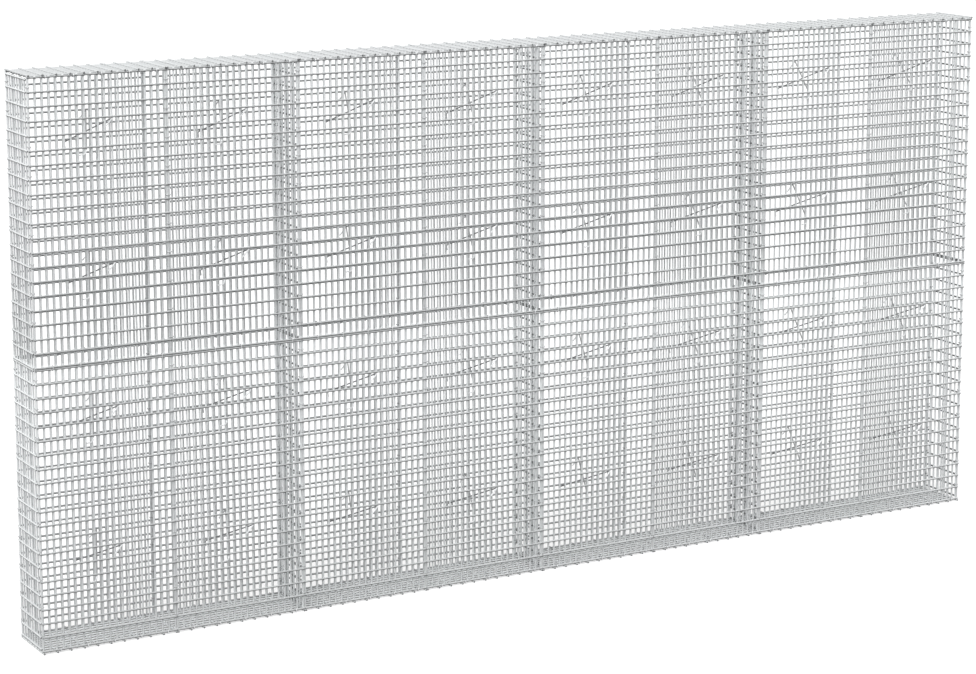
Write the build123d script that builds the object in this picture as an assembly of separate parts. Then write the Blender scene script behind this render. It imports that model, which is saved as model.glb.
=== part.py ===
"""Gabion wall: a long, thin basket of welded wire mesh, four bays by two tiers.

Frame: origin at the centre of the footprint, X along the wall, Y through it with the
front at -Y, Z up. Millimetres. Every panel is a welded mesh in two layers of wire: rows
on the outside and uprights on the inside. The solids carry the panel's edges and an
even selection of its wires, drawn as square bars.
"""
import os
from math import sqrt

from build123d import *

# Driving dimensions
bays = 4
tiers = 2
bay_length = 1000.0
tier_height = 1000.0
fill_depth = 201.0
wire = 6.5
layer_gap = 0.3
seat = 0.3
half_seam = 1.0
row_count = 20
row_step = 2
divider_row_step = 4
half_bay_uprights = 7
cross_uprights = 2
closing_cross_wires = 7
closing_long_wires = 2
tie_wire = 5.0
tie_half_spread = 45.0
tie_side_step = -5.0
tie_low_rows = (5, 15)
tie_rise_rows = 2
tie_hook_back = 26.0
tie_hook_drop = 28.0
tie_front_foot = (22.0, 14.0)
tie_back_foot = (0.0, 20.0)

# Sizes that follow
mesh_thick = 2 * wire + layer_gap
panel_length = bay_length - seat
panel_height = tier_height - seat
row_pitch = (panel_height - wire) / row_count
wall_depth = fill_depth + 2 * mesh_thick
closing_layer = wire + seat
wall_height = tiers * tier_height - seat + 2 * closing_layer
closing_thick = mesh_thick + seat
cross_width = fill_depth - 2 * seat


def block(low, high):
    """A box between two opposite corners."""
    size = [b - a for a, b in zip(low, high)]
    return Pos(*low) * Box(*size, align=(Align.MIN, Align.MIN, Align.MIN))


def spaced(start, end, count):
    """Centres of a count of wires, evenly spread between two edge wires."""
    return [start + (end - start) * i / (count + 1) for i in range(1, count + 1)]


def mesh_panel(width, height, upright_places, row_places):
    """Panel with its rows at y = 0 and its uprights behind them, edges full thickness."""
    inner = block((wire, 0, wire), (width - wire, mesh_thick, height - wire))
    frame = block((0, 0, 0), (width, mesh_thick, height)) - inner
    uprights = [
        block((x - wire / 2, mesh_thick - wire, wire), (x + wire / 2, mesh_thick, height - wire))
        for x in upright_places
    ]
    rows = [
        block((wire, 0, z - wire / 2), (width - wire, wire, z + wire / 2))
        for z in row_places
    ]
    return frame + uprights + rows


def row_centre(index):
    """Height of a row's centre above the lower edge of a face panel."""
    return wire / 2 + index * row_pitch


def row_centres(step):
    """Heights of the rows that are drawn when one in each step is, centred on the panel."""
    return [row_centre(i) for i in range(step // 2, row_count, step)]


def face_panel():
    """Mesh of one bay and tier: two half-bay panels side by side, sharing their rows."""
    seam_centre = panel_length / 2
    seam_left = seam_centre - (half_seam + wire) / 2
    seam_right = seam_centre + (half_seam + wire) / 2
    uprights = spaced(wire / 2, seam_left, half_bay_uprights)
    uprights += [seam_left, seam_right]
    uprights += spaced(seam_right, panel_length - wire / 2, half_bay_uprights)
    return mesh_panel(panel_length, panel_height, uprights, row_centres(row_step))


def tier_base(tier):
    """Height of the lower edge of a tier's face panels."""
    return closing_layer + tier * tier_height


def cross_panel(tier, step):
    """Mesh across the wall in one tier, between base and cover, at its real height."""
    low = closing_thick if tier == 0 else tier_base(tier)
    high = wall_height - closing_thick if tier == tiers - 1 else tier_base(tier) + panel_height
    uprights = spaced(wire / 2, cross_width - wire / 2, cross_uprights)
    rows = [tier_base(tier) - low + z for z in row_centres(step)]
    return Pos(0, 0, low) * mesh_panel(cross_width, high - low, uprights, rows)


def closing_panel():
    """Base of one bay: cross wires below, reaching under both faces, and long wires inside."""
    hole = block((wire, wire, 0), (panel_length - wire, wall_depth - wire, wire))
    outer = block((0, 0, 0), (panel_length, wall_depth, wire)) - hole
    cross = [
        block((x - wire / 2, wire, 0), (x + wire / 2, wall_depth - wire, wire))
        for x in spaced(wire / 2, panel_length - wire / 2, closing_cross_wires)
    ]
    inset = mesh_thick + seat
    stiles = [
        block((x, inset, wire), (x + wire, wall_depth - inset, mesh_thick))
        for x in (0, panel_length - wire)
    ]
    edge = inset + wire / 2
    places = [edge, *spaced(edge, wall_depth - edge, closing_long_wires), wall_depth - edge]
    long_wires = [
        block((wire, y - wire / 2, wire + layer_gap), (panel_length - wire, y + wire / 2, mesh_thick))
        for y in places
    ]
    return outer + cross + stiles + long_wires


def tie_rod(side):
    """Hooked rod under a row of each face, rising to +X. side = -1 is high at the front."""
    half_corner = tie_wire / sqrt(2)
    reach = wall_depth / 2 + seat + half_corner
    rise = tie_rise_rows * row_pitch
    slope = rise / (wall_depth - wire)
    under = wire / 2 + seat + half_corner * sqrt(1 + slope**2)
    low_z = -under - slope * (wire + seat + half_corner)
    high_z = rise - under + slope * (seat + half_corner)
    low_x = side * tie_side_step - tie_half_spread
    high_x = side * tie_side_step + tie_half_spread
    low_y = -side * reach
    high_y = side * reach
    foot_side, foot_drop = tie_front_foot if side > 0 else tie_back_foot
    path = Polyline(
        (high_x - tie_hook_back, high_y, high_z - tie_hook_drop),
        (high_x, high_y, high_z),
        (low_x, low_y, low_z),
        (low_x - foot_side, low_y, low_z - foot_drop),
    )
    section = (path ^ 0) * Rectangle(tie_wire, tie_wire)
    return sweep(section, path=path, transition=Transition.RIGHT)


def write(node, *solids):
    """Save one named piece, which may hold like solids that don't touch."""
    shape = solids[0] if len(solids) == 1 else Compound(children=list(solids))
    export_step(shape, f"parts/{node}.step")


def turned(solid, angle):
    """The solid turned about the upright axis."""
    return Rot(0, 0, angle) * solid


tier_names = ["lower", "middle", "upper"] if tiers > 2 else ["lower", "upper"][:tiers]
wall_start = -bays * bay_length / 2
os.makedirs("parts", exist_ok=True)

face = face_panel()
base = closing_panel()
cover = Rot(180, 0, 0) * base
rods = [tie_rod(-1), tie_rod(1)]
half_bay_centres = (1 / 4, 3 / 4)

for bay in range(bays):
    left = wall_start + bay * bay_length + seat / 2
    right = left + panel_length
    write(f"base_bay_{bay + 1}", Pos(left, -wall_depth / 2, 0) * base)
    write(f"cover_bay_{bay + 1}", Pos(left, wall_depth / 2, wall_height) * cover)
    for tier in range(tiers):
        name = f"{tier_names[tier]}_bay_{bay + 1}"
        low = tier_base(tier)
        write(f"front_{name}", Pos(left, -wall_depth / 2, low) * face)
        write(f"back_{name}", Pos(right, wall_depth / 2, low) * turned(face, 180))
        centres = [left + wire / 2 + (panel_length - wire) * share for share in half_bay_centres]
        write(f"ties_{name}", *[
            Pos(x, 0, low + row_centre(row)) * rod
            for x in centres for row in tie_low_rows for rod in rods
        ])

for tier in range(tiers):
    panel = cross_panel(tier, row_step)
    divider = cross_panel(tier, divider_row_step)
    end_out = wall_start - closing_layer + seat / 2
    write(f"end_left_{tier_names[tier]}",
          Pos(end_out, cross_width / 2, 0) * turned(panel, -90))
    write(f"end_right_{tier_names[tier]}",
          Pos(-end_out, -cross_width / 2, 0) * turned(panel, 90))
    for line in range(1, bays):
        x = wall_start + line * bay_length - mesh_thick / 2
        write(f"divider_{line}_{tier_names[tier]}",
              Pos(x, cross_width / 2, 0) * turned(divider, -90))
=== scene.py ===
# %% [markdown]
# # A gabion wall basket of welded mesh
#
# The real object is a long, thin wall of wire baskets that is filled with stones on
# site. Flat panels of welded mesh form two faces, two ends, cross dividers, a base and
# covers. Steel rings clip the panels together at their edges, and hooked rods tie the
# front face to the back one, so that the stones don't push them apart.
#
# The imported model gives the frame: one node for each panel and each set of ties. Every
# node is redrawn here in round wire, with every wire that the real mesh has, inside the
# box that the node takes up.

# %% Load the frame
from math import hypot, radians

import bpy
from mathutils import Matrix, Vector


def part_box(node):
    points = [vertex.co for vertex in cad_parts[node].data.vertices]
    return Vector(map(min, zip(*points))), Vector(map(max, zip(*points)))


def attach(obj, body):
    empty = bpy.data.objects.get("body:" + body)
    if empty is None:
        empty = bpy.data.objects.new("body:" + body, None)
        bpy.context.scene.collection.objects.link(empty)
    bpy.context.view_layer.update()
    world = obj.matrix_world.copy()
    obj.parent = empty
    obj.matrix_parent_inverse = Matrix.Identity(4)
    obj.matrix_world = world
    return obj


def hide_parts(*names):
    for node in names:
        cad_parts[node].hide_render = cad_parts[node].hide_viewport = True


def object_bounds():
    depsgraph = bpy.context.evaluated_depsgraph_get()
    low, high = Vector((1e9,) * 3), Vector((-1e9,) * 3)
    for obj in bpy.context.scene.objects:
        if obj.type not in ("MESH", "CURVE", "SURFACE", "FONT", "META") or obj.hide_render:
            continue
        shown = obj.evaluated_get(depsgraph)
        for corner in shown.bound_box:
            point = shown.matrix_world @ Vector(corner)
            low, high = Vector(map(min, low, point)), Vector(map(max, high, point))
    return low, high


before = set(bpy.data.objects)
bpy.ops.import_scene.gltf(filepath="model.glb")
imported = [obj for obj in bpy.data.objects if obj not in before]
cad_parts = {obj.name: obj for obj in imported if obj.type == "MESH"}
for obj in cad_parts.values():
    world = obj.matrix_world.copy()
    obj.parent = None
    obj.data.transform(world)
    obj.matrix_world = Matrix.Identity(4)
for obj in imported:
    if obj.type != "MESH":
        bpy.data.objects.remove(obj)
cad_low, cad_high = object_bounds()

print("nodes:", len(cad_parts), "box:", tuple(cad_low), tuple(cad_high))

# %% [markdown]
# ## The sizes that drive the mesh
#
# A stock gabion mesh has its wires 25 mm apart one way and 50 mm the other. Only counts
# and wire sizes, in metres, are written here. All lengths and places come from the boxes
# of the nodes, so the mesh always fits the frame. SET_DOWN is how far the welds press
# one layer of wires into the other, and HALF_SEAM is the gap between two panels.

# %% Values
BODY = "root"
TIERS = ("lower", "upper")
BAYS = sum(node.startswith("base_bay_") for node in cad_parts)
WIRE = 0.0068
MESH_THICK = 0.0133
SET_DOWN = 0.003
HALF_SEAM = 0.0004
UPRIGHT_GAPS = 20
ROW_GAPS = 20
DEPTH_GAPS = 8
COVER_GAPS = 10
HALF_BAY_CENTRES = (0.25, 0.75)
MERGE_DISTANCE = 1e-6
tier_height = cad_high.z / len(TIERS)
print("bays:", BAYS, "tier height:", round(tier_height, 4))

# %% [markdown]
# ## Small helpers for working with operators
#
# Blender's operators act on whatever is selected, just as they do by hand. So every
# step starts by clearing the selection and picking exactly the pieces that it needs.

# %% Selection helpers
def deselect():
    """Nothing stays selected."""
    bpy.ops.object.select_all(action="DESELECT")


def pick(piece, *others):
    """Only these pieces are selected, and the first of them is active."""
    deselect()
    for each in (piece, *others):
        each.select_set(True)
    bpy.context.view_layer.objects.active = piece
    return piece


def settle(piece):
    """The piece's place, turn and size go into its mesh."""
    pick(piece)
    bpy.ops.object.transform_apply(location=True, rotation=True, scale=True)
    return piece


def moved(piece, step):
    """The piece shifted by a step."""
    piece.location = step
    return settle(piece)


def turned(piece, turn, place):
    """The piece turned about the origin by degrees on X, Y and Z, then put in its place."""
    piece.rotation_euler = [radians(angle) for angle in turn]
    piece.location = place
    return settle(piece)


def copied(piece):
    """A copy with a mesh of its own."""
    pick(piece)
    bpy.ops.object.duplicate(linked=False)
    return bpy.context.object


def joined(name, *pieces):
    """Several pieces made one."""
    pick(*pieces)
    if len(pieces) > 1:
        bpy.ops.object.join()
    piece = bpy.context.object
    piece.name = piece.data.name = name
    return piece


def repeated(piece, step, count):
    """The piece repeated in a straight run, each time moved by the step."""
    if count < 2:
        return piece
    pick(piece)
    run = piece.modifiers.new("Run", "ARRAY")
    run.use_relative_offset = False
    run.use_constant_offset = True
    run.constant_offset_displace = step
    run.count = count
    bpy.ops.object.modifier_apply(modifier=run.name)
    return piece


def edit_faces(piece, wanted):
    """Edit mode, with the faces selected for which wanted(face) is true."""
    pick(piece)
    bpy.ops.object.mode_set(mode="EDIT")
    bpy.ops.mesh.select_mode(type="FACE")
    bpy.ops.mesh.select_all(action="DESELECT")
    bpy.ops.object.mode_set(mode="OBJECT")
    for face in piece.data.polygons:
        face.select = wanted(face)
    bpy.ops.object.mode_set(mode="EDIT")


def leave_edit():
    """Back to object mode."""
    bpy.ops.object.mode_set(mode="OBJECT")


def count_triangles(piece):
    """Triangles of a finished piece."""
    return sum(len(face.vertices) - 2 for face in piece.data.polygons)


# %% [markdown]
# ## Writing shader maths as Python
#
# A node tree for a little arithmetic is hard to read. One small class wraps a socket
# and turns Python's operators into Math nodes, and one method makes every other node.

# %% Shader expressions
class Signal:
    """A value that varies over a surface. Operators on it add Math nodes."""

    def __init__(self, finish, socket):
        self.finish = finish
        self.socket = socket

    def maths(self, operation, first, second=None):
        inputs = {0: first} if second is None else {0: first, 1: second}
        return self.finish.node("ShaderNodeMath", {"operation": operation}, inputs)

    def __add__(self, other):
        return self.maths("ADD", self, other)

    __radd__ = __add__

    def __sub__(self, other):
        return self.maths("SUBTRACT", self, other)

    def __mul__(self, other):
        return self.maths("MULTIPLY", self, other)

    def __truediv__(self, other):
        return self.maths("DIVIDE", self, other)

    def fraction(self):
        return self.maths("FRACT", self)

    def size(self):
        return self.maths("ABSOLUTE", self)


class Nodes:
    """A node tree, with one method that makes every kind of node."""

    def __init__(self, tree):
        self.tree = tree

    def node(self, kind, settings=None, inputs=None, out=0):
        """A new node: its settings first, then the values or links of its sockets."""
        node = self.tree.nodes.new(kind)
        for name, value in (settings or {}).items():
            setattr(node, name, value)
        for name, value in (inputs or {}).items():
            self.feed(node.inputs[name], value)
        return Signal(self, node.outputs[out])

    def feed(self, socket, value):
        """A socket's value, or the signal that drives it."""
        if isinstance(value, Signal):
            self.tree.links.new(value.socket, socket)
        else:
            socket.default_value = value

    def blend(self, share, first, second, mode="MIX"):
        """A colour between two others."""
        settings = {"data_type": "RGBA", "blend_type": mode}
        return self.node("ShaderNodeMix", settings, {0: share, 6: first, 7: second}, out=2)

    def tinted(self, share, colour, tint):
        """A colour multiplied in part by a tint."""
        return self.blend(share, colour, tint, mode="MULTIPLY")

    def seen_directly(self):
        """1 for camera, glossy and transmission rays, and 0 for light that only bounces."""
        rays = self.tree.nodes.new("ShaderNodeLightPath").outputs
        kinds = ("Is Camera Ray", "Is Glossy Ray", "Is Transmission Ray")
        camera, glossy, through = (Signal(self, rays[kind]) for kind in kinds)
        return camera + glossy + through


class Finish(Nodes):
    """One material, with its Principled shader and the object's own coordinates."""

    def __init__(self, name):
        self.material = bpy.data.materials.new(name)
        self.material.use_nodes = True
        super().__init__(self.material.node_tree)
        self.shader = self.tree.nodes["Principled BSDF"]
        self.place = self.node("ShaderNodeTexCoord", out="Object")

    def set(self, **sockets):
        """Sockets of the Principled shader, with underscores for the spaces."""
        for name, value in sockets.items():
            self.feed(self.shader.inputs[name.replace("_", " ")], value)

    def along(self, axis):
        """One coordinate of the place."""
        return self.node("ShaderNodeSeparateXYZ", None, {0: self.place}, out=axis)

    def noise(self, scale, detail=2.0):
        """Soft noise from 0 to 1, its features about 1 / scale metres across."""
        inputs = {"Vector": self.place, "Scale": scale, "Detail": detail}
        return self.node("ShaderNodeTexNoise", None, inputs, out="Fac")

    def flakes(self, scale):
        """Cells of random shape, 0 at their middles."""
        inputs = {"Vector": self.place, "Scale": scale}
        return self.node("ShaderNodeTexVoronoi", None, inputs, out="Distance")

    def levels(self, signal, low, high):
        """The signal stretched so that low gives 0 and high gives 1."""
        return self.node("ShaderNodeMapRange", None, {0: signal, 1: low, 2: high})

    def bump(self, height, distance, strength):
        """A Normal that follows a height."""
        inputs = {"Strength": strength, "Distance": distance, "Height": height}
        return self.node("ShaderNodeBump", None, inputs)


# %% [markdown]
# ## Zinc on the mesh wires
#
# Each welded panel is dipped in molten zinc. The coat is lighter at the top of a panel
# and darker toward its foot. It also has crystals a few millimetres across, runs along
# the wires, and a slight tint that changes from one stretch to the next, cool green to
# cool violet.
# All of it is worked out from the object's own coordinates, so it never slides.
#
# Each kind of panel has its own pair of greys, and most of them are painted light or
# shade. The faces' long wires are painted darker than their uprights, as painted shade,
# and most so at the left end of the wall. The left end's rows are painted pale, as
# painted light. The uprights of the dividers and the right end are painted bright, as
# painted light, and their rows darkest, as painted shade. The covers are painted a flat,
# darker grey, as painted shade, and the base's long wires near white, as painted light.
# A lying wire is painted dark along its underside, as painted shade: its points carry a
# number for how far they face down, and the finish reads it.

# %% Zinc finish
ZINC_GREEN = (0.62, 0.67, 0.65, 1)
ZINC_VIOLET = (0.67, 0.665, 0.70, 1)
ZINC_DULL = (0.60, 0.61, 0.615, 1)
WHITE = (1, 1, 1, 1)
PAINTED_UNDERSIDE_SHADE = (0.17, 0.172, 0.174, 1)
PAINTED_UNDERSIDE_RANGE = (0.02, 0.3)
FACING_DOWN = "facing_down"
GRADE_NOISE_SCALE, GRADE_NOISE_SHARE, GRADE_RANGE = 9.0, 0.3, (0.05, 0.95)
CRYSTAL_SCALE, CRYSTAL_RANGE, CRYSTAL_SHARE = 140.0, (0.0, 0.9), 0.25
RUN_SCALE, RUN_RANGE, RUN_SHARE = 60.0, (0.55, 0.8), 0.3
TINT_SCALE, TINT_RANGE, TINT_SHARE = 1.6, (0.38, 0.62), 0.5
TINT_PALENESS = 0.7
ZINC_RELIEF, ZINC_RELIEF_SHARE = 0.0003, 0.5
GREENER, BLUER = 1.02, 1.027


def cool_grey(level):
    """The grey of zinc, slightly cool."""
    return (level, level * GREENER, level * BLUER, 1)


def zinc_finish(name, top, foot, axis="Z", start=MESH_THICK, length=tier_height):
    """Hot-dip zinc. It turns from the foot's grey to the top's once in each length."""
    bright, dull = cool_grey(top), cool_grey(foot)
    zinc = Finish(name)
    # The coat is lighter toward the top of each length and darker toward its foot.
    up_the_panel = ((zinc.along(axis) - start) / length).fraction()
    unevenness = (zinc.noise(GRADE_NOISE_SCALE) - 0.5) * GRADE_NOISE_SHARE
    foot_to_top = zinc.levels(up_the_panel + unevenness, *GRADE_RANGE)
    crystals = zinc.levels(zinc.flakes(CRYSTAL_SCALE), *CRYSTAL_RANGE)
    runs = zinc.noise(RUN_SCALE, detail=4.0)
    stretches = zinc.levels(zinc.noise(TINT_SCALE), *TINT_RANGE)
    tint = zinc.blend(stretches, ZINC_GREEN, ZINC_VIOLET)
    coat = zinc.tinted(
        TINT_SHARE, zinc.blend(foot_to_top, dull, bright), zinc.blend(TINT_PALENESS, tint, WHITE)
    )
    coat = zinc.blend(crystals * CRYSTAL_SHARE, coat, bright)
    coat = zinc.blend(zinc.levels(runs, *RUN_RANGE) * RUN_SHARE, coat, dull)
    # Painted shade: the undersides of lying wires are darkened by their facing_down numbers.
    facing_down = zinc.node("ShaderNodeAttribute", {"attribute_name": FACING_DOWN}, out="Fac")
    coat = zinc.blend(zinc.levels(facing_down, *PAINTED_UNDERSIDE_RANGE), coat, PAINTED_UNDERSIDE_SHADE)
    zinc.set(
        Base_Color=coat,
        Metallic=0.1,
        Specular_IOR_Level=0.3,
        Roughness=0.45 + runs * 0.18 + crystals * 0.06,
        Normal=zinc.bump(crystals * 0.4 + runs, ZINC_RELIEF, ZINC_RELIEF_SHARE),
    )
    return zinc.material


hot_dip_zinc = zinc_finish("hot_dip_zinc", 0.80, 0.61)
wall_length = cad_high.x - cad_low.x + MESH_THICK
# Painted shade: the long wires of the faces are darker than their uprights, and darker again
# toward the left end of the wall.
painted_shade_long_wire_zinc = zinc_finish("painted_shade_long_wire_zinc", 0.60, 0.45, "X", cad_low.x, wall_length)
# Painted light: the rows of the left end are a paler copy of the zinc.
painted_light_end_row_zinc = zinc_finish("painted_light_end_row_zinc", 0.77, 0.66)
# Painted light: the uprights of the right end and the dividers are a brighter copy of the
# zinc.
painted_light_inner_zinc = zinc_finish("painted_light_inner_zinc", 0.95, 0.92)
# Painted shade: the rows of the right end and the dividers are a dark copy of the zinc.
shaded_zinc = zinc_finish("shaded_zinc", 0.22, 0.22)
# Painted shade: the covers are a flat, darker copy of the zinc.
painted_shade_cover_zinc = zinc_finish("painted_shade_cover_zinc", 0.60, 0.60)
# Painted light: the base's long wires are a near-white copy of the zinc.
painted_light_base_zinc = zinc_finish("painted_light_base_zinc", 0.93, 0.93)
print("zinc finishes:", len(bpy.data.materials))


# %% [markdown]
# The shears leave each wire with a flat end. Zinc creeps over it only in part, so the
# cut is rougher than the coat. It is darker than the coat, partly because bare steel is
# duller and partly as painted shade.

# %% Sheared wire ends
CUT_DARK = (0.12, 0.123, 0.126, 1)
CUT_PALE = (0.26, 0.264, 0.268, 1)
CUT_GRAIN_SCALE = 420.0


def cut_finish():
    """Sheared steel with a little zinc over it, darkened partly as painted shade."""
    cut = Finish("sheared_end")
    grain = cut.noise(CUT_GRAIN_SCALE, detail=3.0)
    cut.set(
        Base_Color=cut.blend(grain, CUT_DARK, CUT_PALE),
        Metallic=0.2,
        Roughness=0.5 + grain * 0.2,
        Normal=cut.bump(grain, 0.0004, 0.6),
    )
    return cut.material


sheared_end = cut_finish()
print("made", sheared_end.name)


# %% [markdown]
# ## One straight wire
#
# Every panel is built from one straight wire. It is a ten-sided cylinder, because some
# two thousand of them are needed, with its two ends chamfered as shears leave them. The
# end faces get the sheared finish. The chamfer turns by 45 degrees, so smoothing stops
# at less than that, or it would bend the light along the whole wire.

# %% A cut wire
WIRE_SIDES = 10
CUT_CHAMFER = 0.0007
SMOOTH_ANGLE = radians(40)
END_FACING = 0.9


def cut_wire(length, coat):
    """A wire that stands on the origin."""
    deselect()
    bpy.ops.mesh.primitive_cylinder_add(
        vertices=WIRE_SIDES, radius=WIRE / 2, depth=length, location=(0, 0, length / 2)
    )
    wire = settle(bpy.context.object)
    wire.data.materials.append(coat)
    wire.data.materials.append(sheared_end)
    edit_faces(wire, lambda face: abs(face.normal.z) > END_FACING)
    wire.active_material_index = 1
    bpy.ops.object.material_slot_assign()
    bpy.ops.mesh.bevel(offset=CUT_CHAMFER, segments=1, affect="EDGES")
    leave_edit()
    return wire


def lying_wire(length, coat):
    """A wire that lies along +X from the origin, with every point marked with a 1."""
    wire = turned(cut_wire(length, coat), (0, 90, 0), (0, 0, 0))
    mark = wire.data.attributes.new(FACING_DOWN, "FLOAT", "POINT")
    mark.data.foreach_set("value", [1.0] * len(mark.data))
    return wire


# %% [markdown]
# ## The weld at a crossing
#
# The wires are pressed together while a current melts them, so the row sinks into the
# upright, and a flash of metal squeezes out into the four corners of the crossing. With
# nearly twenty thousand welds the flash has to be very light: a sphere of four segments
# and two rings, turned so that its corners point into the crossing's corners, and
# pressed flat.

# %% Weld flash
FLASH_REACH = 0.0062
FLASH_FLAT = 0.45


def weld_flash(coat):
    """The flash of one weld, flat in Y."""
    deselect()
    bpy.ops.mesh.primitive_uv_sphere_add(segments=4, ring_count=2, radius=FLASH_REACH)
    flash = bpy.context.object
    flash.data.materials.append(coat)
    edit_faces(flash, lambda face: True)
    bpy.ops.transform.rotate(value=radians(45), orient_axis="Y", center_override=(0, 0, 0))
    bpy.ops.transform.resize(value=(1, FLASH_FLAT, 1), center_override=(0, 0, 0))
    leave_edit()
    return settle(flash)


# %% [markdown]
# ## A flat panel of welded mesh
#
# A panel is drawn flat, its width on X and its height on Z, with one layer of wires in
# front near Y = 0 and the other behind it. The uprights keep their side of the node's
# box, and the rows are set down into them. One upright is repeated along X, one row along
# Z, and one weld in both directions. The same function draws faces, ends, dividers,
# covers and base, which differ only in their sizes and in which layer is in front.
#
# In a cover or base, the cross wires are drawn as uprights and the long wires as rows.

# %% Panels
def even_run(low, high, gaps):
    """First centre, pitch and count of wires whose outer sides touch low and high."""
    return low + WIRE / 2, (high - low - WIRE) / gaps, gaps + 1


def welded_mesh(name, width, height, uprights, rows, coats,
                extra_row=None, uprights_in_front=False):
    """A flat panel. uprights and rows are each a first centre, a pitch and a count."""
    front, behind = WIRE / 2, MESH_THICK - WIRE / 2
    if uprights_in_front:
        upright_y, row_y = front, behind - SET_DOWN
    else:
        upright_y, row_y = behind, front + SET_DOWN
    first_x, pitch_x, count_x = uprights
    first_z, pitch_z, count_z = rows
    upright_coat, row_coat = coats
    upright = moved(cut_wire(height, upright_coat), (first_x, upright_y, 0))
    row = moved(lying_wire(width, row_coat), (0, row_y, first_z))
    welds = moved(weld_flash(upright_coat), (first_x, (upright_y + row_y) / 2, first_z))
    welds = repeated(welds, (pitch_x, 0, 0), count_x)
    parts = [repeated(upright, (pitch_x, 0, 0), count_x)]
    if extra_row is not None:
        step = (0, 0, extra_row - first_z)
        parts += [moved(copied(row), step), moved(copied(welds), step)]
    parts.append(repeated(row, (0, 0, pitch_z), count_z))
    parts.append(repeated(welds, (0, 0, pitch_z), count_z))
    panel = joined(name, *parts)
    bpy.ops.object.shade_smooth_by_angle(angle=SMOOTH_ANGLE)
    return panel


def two_halves(name, half, half_width):
    """Two half-bay panels side by side, with the thin seam between them."""
    other = moved(copied(half), (half_width + HALF_SEAM, 0, 0))
    return joined(name, half, other)


# %% [markdown]
# ## Putting a panel in the place of a node
#
# The flat panel is copied for every node of its kind, turned to face the right way, and
# moved to a corner of the node's box.

# %% Placing
made = []


def finish_piece(piece, slot, *nodes):
    """Ties the piece to the frame."""
    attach(piece, BODY)
    if nodes:
        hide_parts(*nodes)
    made.append(piece)


# The facing_down numbers place the painted shade along the undersides of lying wires.
def mark_undersides(piece):
    """The marks of lying wires, kept only as far as each point faces down."""
    marks = piece.data.attributes[FACING_DOWN].data
    for mark, point in zip(marks, piece.data.vertices):
        mark.value *= max(-point.normal.z, 0)


def stand_for(node, pattern, turn, corner):
    """A copy of a flat pattern, turned, with its origin at a corner of the node's box."""
    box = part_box(node)
    place = [box[side][axis] for axis, side in enumerate(corner)]
    piece = turned(copied(pattern), turn, place)
    mark_undersides(piece)
    piece.name = piece.data.name = f"{node}_mesh"
    finish_piece(piece, "mesh_wire", node)
    return piece


def discard(*pieces):
    """Patterns that were only copied from."""
    pick(*pieces)
    bpy.ops.object.delete()


# %% [markdown]
# ## Front and back faces
#
# A bay of a face is two half-bay panels, each with 21 uprights and 21 rows, so the
# uprights come in pairs wherever two panels meet. The rows are on the outside, and the
# back face is the front face turned half a turn.

# %% Faces
low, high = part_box("front_lower_bay_1")
face_length = high.x - low.x
face_height = high.z - low.z
half_face = (face_length - HALF_SEAM) / 2
face_rows = even_run(0, face_height, ROW_GAPS)
# The rows of the faces carry the painted shade of the long wires.
face = two_halves("face", welded_mesh(
    "half_face", half_face, face_height, even_run(0, half_face, UPRIGHT_GAPS), face_rows,
    (hot_dip_zinc, painted_shade_long_wire_zinc),
), half_face)
for tier in TIERS:
    for bay in range(1, BAYS + 1):
        stand_for(f"front_{tier}_bay_{bay}", face, (0, 0, 0), (0, 0, 0))
        stand_for(f"back_{tier}_bay_{bay}", face, (0, 0, 180), (1, 1, 0))
print("face panels:", len(made), "triangles each:", count_triangles(face))
discard(face)

# %% [markdown]
# ## Base and covers
#
# Base and covers lie flat. Their cross wires are on the outside, 50 mm apart, and reach
# over both faces, so that their cut ends show as a row of knobs along the edges. The long
# wires are on the inside, and the outermost ones lie just clear of the faces.

# %% Base and covers
cover_low, cover_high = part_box("cover_bay_1")
end_low, end_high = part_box("end_left_lower")
cover_length = cover_high.x - cover_low.x
cover_depth = cover_high.y - cover_low.y
half_cover = (cover_length - HALF_SEAM) / 2
long_inset = end_low.y - cover_low.y
# The covers carry painted shade, and the base's long wires painted light.
for kind, coats, turn, corner in (
    ("cover", (painted_shade_cover_zinc, painted_shade_cover_zinc), (-90, 0, 0), (0, 0, 1)),
    ("base", (hot_dip_zinc, painted_light_base_zinc), (90, 0, 0), (0, 1, 0)),
):
    flat = two_halves(kind, welded_mesh(
        f"half_{kind}", half_cover, cover_depth,
        even_run(0, half_cover, COVER_GAPS),
        even_run(long_inset, cover_depth - long_inset, DEPTH_GAPS),
        coats, uprights_in_front=True,
    ), half_cover)
    for bay in range(1, BAYS + 1):
        stand_for(f"{kind}_bay_{bay}", flat, turn, corner)
    print(kind, "pieces so far:", len(made), "triangles each:", count_triangles(flat))
    discard(flat)

# %% [markdown]
# ## Ends and dividers
#
# These panels stand across the wall between the two faces. Their rows keep the heights
# of the rows in the faces. Where the base or a cover takes the place of the last row,
# the panel ends with one extra row against it. The left end has its rows on its left
# side, and the right end and all the dividers have theirs on the right.

# %% Ends and dividers
FIT = 1e-4

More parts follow.
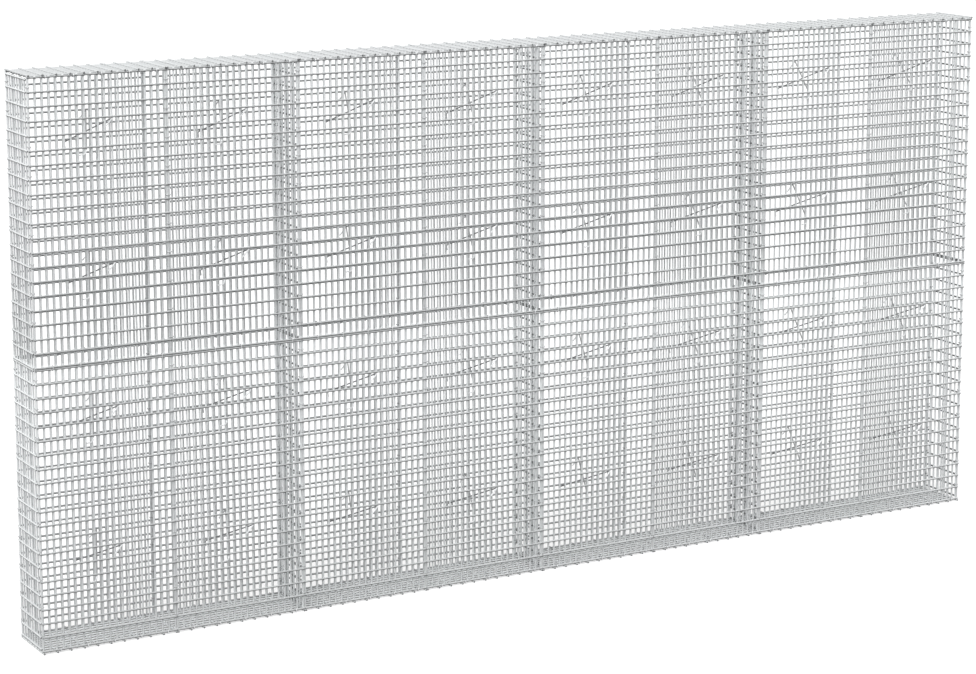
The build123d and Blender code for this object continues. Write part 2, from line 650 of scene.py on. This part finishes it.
for tier in TIERS:
    low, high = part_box(f"end_left_{tier}")
    face_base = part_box(f"front_{tier}_bay_1")[0].z
    width = high.y - low.y
    height = high.z - low.z
    first, pitch, count = face_rows
    heights = [face_base + first + pitch * index - low.z for index in range(count)]
    lowest, highest = WIRE / 2, height - WIRE / 2
    kept = [z for z in heights if lowest - FIT <= z <= highest + FIT]
    extra = lowest if kept[0] > pitch / 2 else highest
    dividers = [f"divider_{line}_{tier}" for line in range(1, BAYS)]
    # The left end's rows carry painted light; the right end and the dividers carry painted
    # light on their uprights and painted shade on their rows.
    for nodes, coats, turn, corner in (
        ([f"end_left_{tier}"], (hot_dip_zinc, painted_light_end_row_zinc), (0, 0, -90), (0, 1, 0)),
        ([f"end_right_{tier}", *dividers], (painted_light_inner_zinc, shaded_zinc), (0, 0, 90), (1, 0, 0)),
    ):
        across = welded_mesh(
            f"across_{tier}", width, height, even_run(0, width, DEPTH_GAPS),
            (kept[0], pitch, len(kept)), coats, extra_row=extra,
        )
        for node in nodes:
            stand_for(node, across, turn, corner)
        print(nodes[0], "rows:", len(kept) + 1, "triangles each:", count_triangles(across))
        discard(across)

# %% [markdown]
# ## Bright zinc on ties and rings
#
# Ties and rings are bent from drawn wire that was coated before it was bent. Their zinc
# is smooth and bright outside the faces. Inside the basket it is painted a dark grey as
# painted shade, on one rod of each pair more than on the other.

# %% Bright wire
BRIGHT_LOW = (0.72, 0.73, 0.74, 1)
BRIGHT_HIGH = (0.86, 0.87, 0.88, 1)
PAINTED_INSIDE_SHADE = (0.16, 0.165, 0.17, 1)
INSIDE_SHADE_STARTS, INSIDE_SHADE_FULL = cad_high.y - 0.004, cad_high.y - 0.018
PATCH_SCALE = 24.0
SCRATCH_SCALE, SCRATCH_RANGE, SCRATCH_SHARE = 300.0, (0.6, 0.8), 0.3
SCRATCH_DEPTH, SCRATCH_STRENGTH = 0.0002, 0.4


def bright_finish(name, inside_shade_share):
    """Smooth electroplated wire, painted dark inside the basket as painted shade."""
    bright = Finish(name)
    patches = bright.noise(PATCH_SCALE, detail=3.0)
    scratches = bright.noise(SCRATCH_SCALE)
    inside = bright.levels(bright.along("Y").size(), INSIDE_SHADE_STARTS, INSIDE_SHADE_FULL)
    coat = bright.blend(patches, BRIGHT_LOW, BRIGHT_HIGH)
    # Painted shade: inside the basket the coat turns dark grey.
    coat = bright.blend(inside * inside_shade_share, coat, PAINTED_INSIDE_SHADE)
    scratched = bright.levels(scratches, *SCRATCH_RANGE) * SCRATCH_SHARE
    bright.set(
        Base_Color=bright.blend(scratched, coat, ZINC_DULL),
        Metallic=0.3,
        Roughness=0.3 + patches * 0.14,
        Normal=bright.bump(scratches, SCRATCH_DEPTH, SCRATCH_STRENGTH),
    )
    return bright.material


# Both carry painted shade inside the basket, the second more deeply.
bright_wire = bright_finish("bright_wire", 0.6)
deeper_shade_rod_wire = bright_finish("deeper_shade_rod_wire", 0.85)
print("made", bright_wire.name, deeper_shade_rod_wire.name)


# %% [markdown]
# ## Hooked ties
#
# A tie is a 5 mm rod that leans up to the right from a row of one face to a row of the
# other, pressed up under both and bent round them. It is drawn as by hand: a plane is
# merged to one point, which is extruded leg by leg along the rod's line. The corners are
# rounded by a vertex bevel, and the line becomes a curve whose round section gives the
# rod its body.

# %% Drawing a bent rod
ROD_SIDES_LEVEL = 2
BEND_STEPS = 4


def bent_rod(name, points, radius, bend, coat):
    """A rod along straight legs between points, its corners rounded to a bend."""
    deselect()
    bpy.ops.mesh.primitive_plane_add(location=(0, 0, 0))
    rod = bpy.context.object
    bpy.ops.object.mode_set(mode="EDIT")
    bpy.ops.mesh.select_mode(type="VERT")
    bpy.ops.mesh.select_all(action="SELECT")
    bpy.ops.mesh.merge(type="CENTER")
    bpy.ops.transform.translate(value=points[0])
    for start, end in zip(points, points[1:]):
        leg = Vector(end) - Vector(start)
        bpy.ops.mesh.extrude_region_move(TRANSFORM_OT_translate={"value": leg})
    bpy.ops.mesh.select_all(action="DESELECT")
    leave_edit()
    uses = [0] * len(rod.data.vertices)
    for edge in rod.data.edges:
        for index in edge.vertices:
            uses[index] += 1
    for vertex in rod.data.vertices:
        vertex.select = uses[vertex.index] == 2
    bpy.ops.object.mode_set(mode="EDIT")
    bpy.ops.mesh.bevel(offset=bend, segments=BEND_STEPS, affect="VERTICES")
    leave_edit()
    bpy.ops.object.convert(target="CURVE")
    line = bpy.context.object.data
    line.bevel_depth = radius
    line.bevel_resolution = ROD_SIDES_LEVEL
    line.use_fill_caps = True
    bpy.ops.object.convert(target="MESH")
    rod = bpy.context.object
    rod.name = rod.data.name = name
    rod.data.materials.clear()
    rod.data.materials.append(coat)
    edit_faces(rod, lambda face: True)
    bpy.ops.mesh.remove_doubles(threshold=MERGE_DISTANCE)
    bpy.ops.mesh.normals_make_consistent(inside=False)
    leave_edit()
    bpy.ops.object.shade_smooth_by_angle(angle=SMOOTH_ANGLE)
    return rod


# %% [markdown]
# The rods go in pairs that lean through each other: one is high at the front, the other
# high at the back. Each rod presses up under a row of either face, just beside an
# upright. Its high end turns down and back across the face in a long hook. The low end
# turns down, and at the front it then runs along the face in a short foot.

# %% Ties
TIE = 0.005
TIE_BEND = 0.007
TIE_HALF_SPREAD = 0.0449
TIE_SIDE_STEP = -0.0036
TIE_ROOM = 0.0001
TIE_LOW_ROWS = (5, 15)
TIE_RISE_ROWS = 2
TIE_HOOK = (0.027, 0.029)
TIE_FRONT_FOOT = [(0.003, 0.012), (0.025, 0.014)]
TIE_BACK_FOOT = [(-0.003, 0.020)]
row_y = cover_depth / 2 - WIRE / 2 - SET_DOWN


def tie_rod(name, side, rise):
    """A rod whose low row is at the origin. side is -1 where it is high at the front."""
    touch = (WIRE + TIE) / 2 + TIE_ROOM
    reach = row_y + touch
    slope = rise / (2 * row_y)
    below = touch * hypot(1, slope)
    low = (side * TIE_SIDE_STEP - TIE_HALF_SPREAD, -side * reach, -below - slope * touch)
    high = (side * TIE_SIDE_STEP + TIE_HALF_SPREAD, side * reach, rise - below + slope * touch)
    foot = TIE_FRONT_FOOT if side > 0 else TIE_BACK_FOOT
    hook_end = (high[0] - TIE_HOOK[0], high[1], high[2] - TIE_HOOK[1])
    foot_points = [(low[0] - along, low[1], low[2] - drop) for along, drop in foot]
    # The rods carry painted shade inside the basket, one more than the other.
    coat = bright_wire if side > 0 else deeper_shade_rod_wire
    return bent_rod(name, [hook_end, high, low, *foot_points], TIE / 2, TIE_BEND, coat)


row_first, row_pitch, _ = face_rows
tie_rise = TIE_RISE_ROWS * row_pitch
rods = joined("rods", *[tie_rod(f"rod_{side}", side, tie_rise) for side in (-1, 1)])
for tier in TIERS:
    for bay in range(1, BAYS + 1):
        low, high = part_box(f"front_{tier}_bay_{bay}")
        places = [
            (low.x + (high.x - low.x) * share, 0, low.z + row_first + row_pitch * row)
            for share in HALF_BAY_CENTRES for row in TIE_LOW_ROWS
        ]
        node = f"ties_{tier}_bay_{bay}"
        ties = joined(f"{node}_rods", *[moved(copied(rods), place) for place in places])
        finish_piece(ties, "tie_wire", node)
print("pairs in each node:", len(places), "triangles a pair:", count_triangles(rods))
discard(rods)


# %% [markdown]
# ## Clip rings
#
# Rings of thin wire clip the panels together, one every 100 mm along each seam. A ring
# starts as a small five-sided section that is spun round with a gap left open, and its
# two halves are then pulled apart to the length that the bundle of wires needs.

# %% One ring
RING_WIRE = 0.003
RING_SIDES = 5
RING_STEPS = 10
RING_TURN = radians(342)
RING_ROOM = 0.0006
RING_SMOOTH_ANGLE = radians(80)


def edit_points(piece, wanted):
    """Edit mode, with the points selected for which wanted(point) is true."""
    pick(piece)
    bpy.ops.object.mode_set(mode="EDIT")
    bpy.ops.mesh.select_mode(type="VERT")
    bpy.ops.mesh.select_all(action="DESELECT")
    bpy.ops.object.mode_set(mode="OBJECT")
    for point in piece.data.vertices:
        point.select = wanted(point.co)
    bpy.ops.object.mode_set(mode="EDIT")


def clip_ring(tall, wide):
    """A ring in the YZ plane round a bundle that is tall on Z and wide on Y."""
    swing = wide / 2 + RING_ROOM + RING_WIRE / 2
    deselect()
    bpy.ops.mesh.primitive_circle_add(
        vertices=RING_SIDES, radius=RING_WIRE / 2, location=(0, swing, 0)
    )
    ring = settle(bpy.context.object)
    ring.data.materials.append(bright_wire)
    edit_points(ring, lambda place: True)
    bpy.ops.mesh.spin(steps=RING_STEPS, angle=RING_TURN, center=(0, 0, 0), axis=(1, 0, 0))
    bpy.ops.mesh.select_all(action="SELECT")
    bpy.ops.mesh.remove_doubles(threshold=MERGE_DISTANCE)
    bpy.ops.mesh.fill_holes(sides=RING_SIDES)
    bpy.ops.mesh.select_all(action="SELECT")
    bpy.ops.mesh.normals_make_consistent(inside=False)
    leave_edit()
    turned(ring, (90, 0, 0), (0, 0, 0))
    for way in (1, -1):
        edit_points(ring, lambda place: place.z * way > 0)
        bpy.ops.transform.translate(value=(0, 0, way * (tall - wide) / 2))
        leave_edit()
    pick(ring)
    bpy.ops.object.shade_smooth_by_angle(angle=RING_SMOOTH_ANGLE)
    return ring


# %% [markdown]
# Along the level seams a ring stands across the wall, and holds the two rows where the
# tiers meet, or the last row of a face and the first long wire of the base or cover.
# Up the seams of the faces a ring lies level. It holds the two uprights where panels
# meet, at a bay line the divider's edge wire as well, and at a corner one upright of the
# face and one of the end.

# %% Rings along the seams
RING_FIRST = 0.0625
RING_PITCH = 0.1
PAIR = 2 * WIRE + HALF_SEAM
wall_low, wall_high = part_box("base_bay_1")[0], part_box(f"cover_bay_{BAYS}")[1]
face_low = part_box("front_lower_bay_1")[0]
divider_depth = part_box("divider_1_lower")[1].y
upright_y = wall_high.y - MESH_THICK + WIRE / 2
per_wall = round((wall_high.x - wall_low.x) / RING_PITCH)
per_height = round((wall_high.z - wall_low.z) / RING_PITCH)


def ring_run(name, tall, wide, turn, place, step, count):
    """A straight run of rings that makes one piece."""
    ring = turned(clip_ring(tall, wide), turn, place)
    piece = joined(name, repeated(ring, step, count))
    finish_piece(piece, "tie_wire")


def level_rings(name, y, z, tall, wide, turn):
    """Rings along the whole wall."""
    place = (wall_low.x + RING_FIRST, y, z)
    ring_run(name, tall, wide, turn, place, (RING_PITCH, 0, 0), per_wall)


def rising_rings(name, x, y, tall, wide, turn):
    """Rings from the base to the cover."""
    place = (x, y, face_low.z + RING_FIRST)
    ring_run(name, tall, wide, turn, place, (0, 0, RING_PITCH), per_height)


edge_depth = wall_high.y - divider_depth + WIRE
bay_length = (wall_high.x - wall_low.x) / BAYS
belt_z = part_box("front_upper_bay_1")[0].z
edges = {"base": face_low.z + WIRE / 2, "cover": wall_high.z - face_low.z - WIRE / 2}
corners = {"left": wall_low.x + WIRE / 2, "right": wall_high.x - WIRE / 2}
for side, way in (("front", -1), ("back", 1)):
    level_rings(f"rings_belt_{side}", way * row_y, belt_z, PAIR, WIRE, (0, 0, 0))
    edge_y = way * (wall_high.y - edge_depth / 2)
    for edge, z in edges.items():
        level_rings(f"rings_{edge}_{side}", edge_y, z, edge_depth, WIRE, (90, 0, 0))

    single_y = way * upright_y
    for bay in range(1, BAYS + 1):
        x = wall_low.x + bay_length * (bay - 0.5)
        rising_rings(f"rings_half_bay_{bay}_{side}", x, single_y, PAIR, WIRE, (0, 90, 0))
    pair_y = way * (upright_y + WIRE / 2 - PAIR / 2)
    for line in range(1, BAYS):
        x = wall_low.x + bay_length * line
        rising_rings(f"rings_divider_{line}_{side}", x, pair_y, PAIR, PAIR, (0, 90, 0))
    for end, x in corners.items():
        rising_rings(f"rings_corner_{end}_{side}", x, pair_y, PAIR, WIRE, (90, 90, 0))
print("pieces:", len(made))

# %% [markdown]
# ## Floor, light and air
#
# The basket stands on a plain pale floor. Light Path lets the floor and the sky look
# white to the camera and in reflections, while the light that they bounce back is dimmer,
# so the undersides of the wires stay dark, as they do out of doors. The floor has a dull
# colour and a weak glow that add up to white, and so it still shows a soft shadow.

# %% Floor
FLOOR_SIZE = 240
FLOOR_SEEN = (0.45, 0.45, 0.45, 1)
FLOOR_BOUNCE = (0.09, 0.092, 0.092, 1)
FLOOR_GLOW = 0.6
NO_LIGHT = (0, 0, 0, 1)
deselect()
bpy.ops.mesh.primitive_plane_add(size=FLOOR_SIZE, location=(0, 0, 0))
floor = bpy.context.object
floor.name = "studio_floor"
paper = Finish("studio_paper")
seen = paper.seen_directly()
paper.set(
    Base_Color=paper.blend(seen, FLOOR_BOUNCE, FLOOR_SEEN),
    Roughness=1.0,
    Specular_IOR_Level=0.0,
    Emission_Color=paper.blend(seen, NO_LIGHT, WHITE),
    Emission_Strength=FLOOR_GLOW,
)
floor.data.materials.append(paper.material)

# %% Sky
SKY_AMBIENT = (0.93, 0.93, 0.935, 1)
world = bpy.data.worlds.new("studio_sky")
bpy.context.scene.world = world
world.use_nodes = True
sky = Nodes(world.node_tree)
ambient = world.node_tree.nodes["Background"]
ambient.inputs["Color"].default_value = SKY_AMBIENT
white = sky.node("ShaderNodeBackground", None, {"Color": WHITE, "Strength": 1.0})
mixed = sky.node("ShaderNodeMixShader", None, {
    0: sky.seen_directly(), 1: Signal(sky, ambient.outputs[0]), 2: white
})
sky.feed(world.node_tree.nodes["World Output"].inputs["Surface"], mixed)

# %% Lamps
LAMP_DISTANCE = 6


def sun_lamp(name, power, spread, source):
    """A sun that shines from a direction, its soft shadows set by a spread in degrees."""
    deselect()
    source = Vector(source)
    turn = source.to_track_quat("Z", "Y").to_euler()
    bpy.ops.object.light_add(type="SUN", location=source * LAMP_DISTANCE, rotation=turn)
    lamp = bpy.context.object
    lamp.name = name
    lamp.data.energy = power
    lamp.data.angle = radians(spread)


sun_lamp("overhead", power=0.35, spread=60, source=(-0.3, -0.2, 1.0))
sun_lamp("front_fill", power=1.9, spread=40, source=(-0.7, -0.65, 0.95))

# %% [markdown]
# ## Camera
#
# The photograph was taken from the front left, from above the top of the wall, through
# a long lens. The eye's place was solved from the corners of the wall and the crossings
# of its bay lines. A small downward shift keeps the uprights closer to upright.

# %% Camera
EYE = Vector((-5.166, -8.826, 3.116))
YAW, PITCH = radians(29.479), radians(9.871)
LENS, SENSOR = 102.07, 36
SHIFT = -0.12
FAR_LIMIT = 400
deselect()
bpy.ops.object.camera_add(location=EYE, rotation=(radians(90) - PITCH, 0, -YAW))
camera = bpy.context.object
camera.name = "photo_camera"
camera.data.lens = LENS
camera.data.sensor_width = SENSOR
camera.data.shift_y = SHIFT
camera.data.clip_end = FAR_LIMIT
bpy.context.scene.camera = camera

# %% View settings
bpy.context.scene.view_settings.view_transform = "Standard"

# %% Sizes
print("triangles:", sum(count_triangles(piece) for piece in made))
